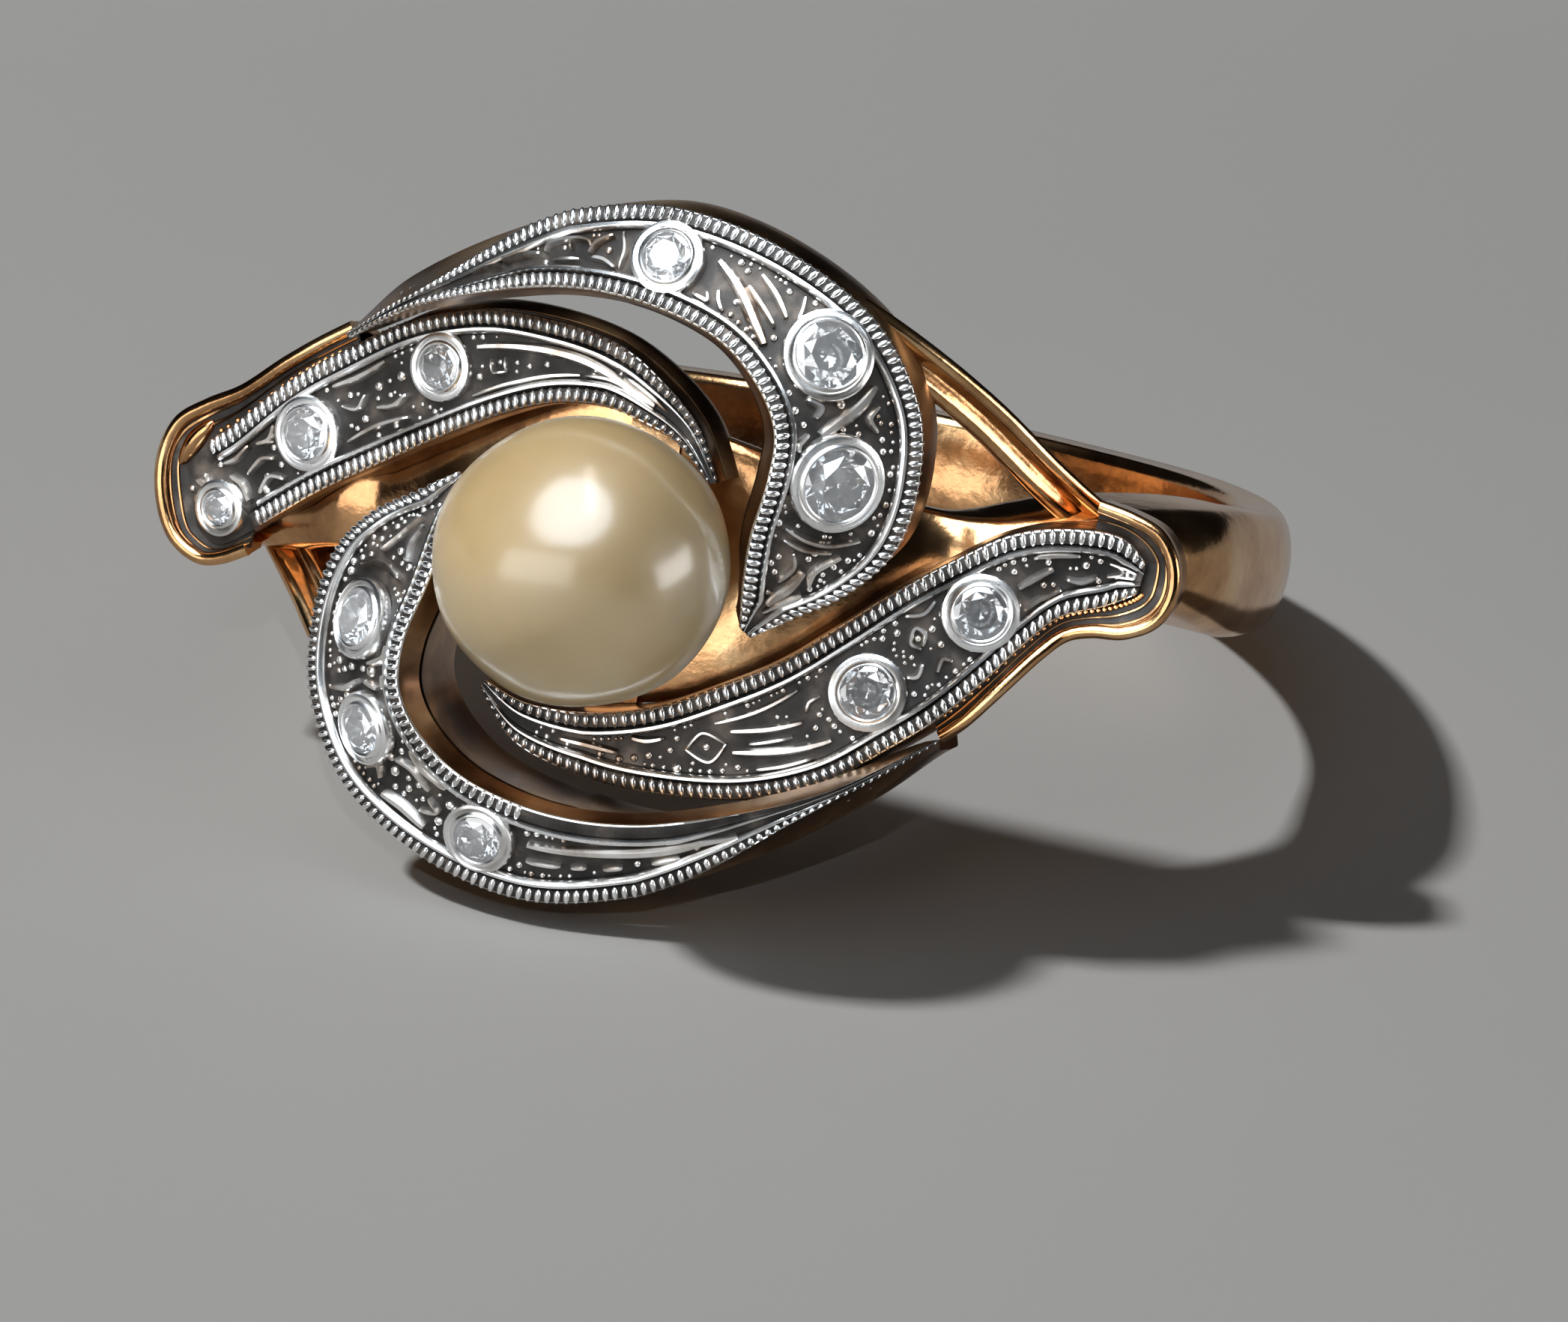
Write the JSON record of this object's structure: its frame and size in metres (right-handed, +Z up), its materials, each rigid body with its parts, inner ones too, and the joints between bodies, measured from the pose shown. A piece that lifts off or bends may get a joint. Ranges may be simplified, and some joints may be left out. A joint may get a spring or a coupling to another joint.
{
  "type": "pearl ring",
  "caption": "Yellow gold finger ring with a cream pearl set among swirling white metal scrolls that hold small round stones.",
  "frame": {"origin": "middle of the ring's bounding box, on the surface that it lies on", "axes": "+Z up from the surface, -Y towards the pearl, +X to the right as seen from the pearl's side"},
  "size_m": [0.02, 0.0243, 0.0129],
  "materials": {
    "yellow_gold": "polished reddish yellow gold",
    "white_metal": "polished and engraved white metal",
    "pearl": "lustrous cream pearl",
    "diamond": "cut and polished"
  },
  "bodies": {
    "root": {"gold_frame": "yellow_gold", "top_scroll": "white_metal", "left_scroll": "white_metal", "bottom_scroll": "white_metal", "right_scroll": "white_metal", "pearl": "pearl", "top_stone_1": "diamond", "top_stone_2": "diamond", "top_stone_3": "diamond", "left_stone_1": "diamond", "left_stone_2": "diamond", "left_stone_3": "diamond", "bottom_stone_1": "diamond", "bottom_stone_2": "diamond", "bottom_stone_3": "diamond", "right_stone_1": "diamond", "right_stone_2": "diamond"}
  },
  "joints": []
}
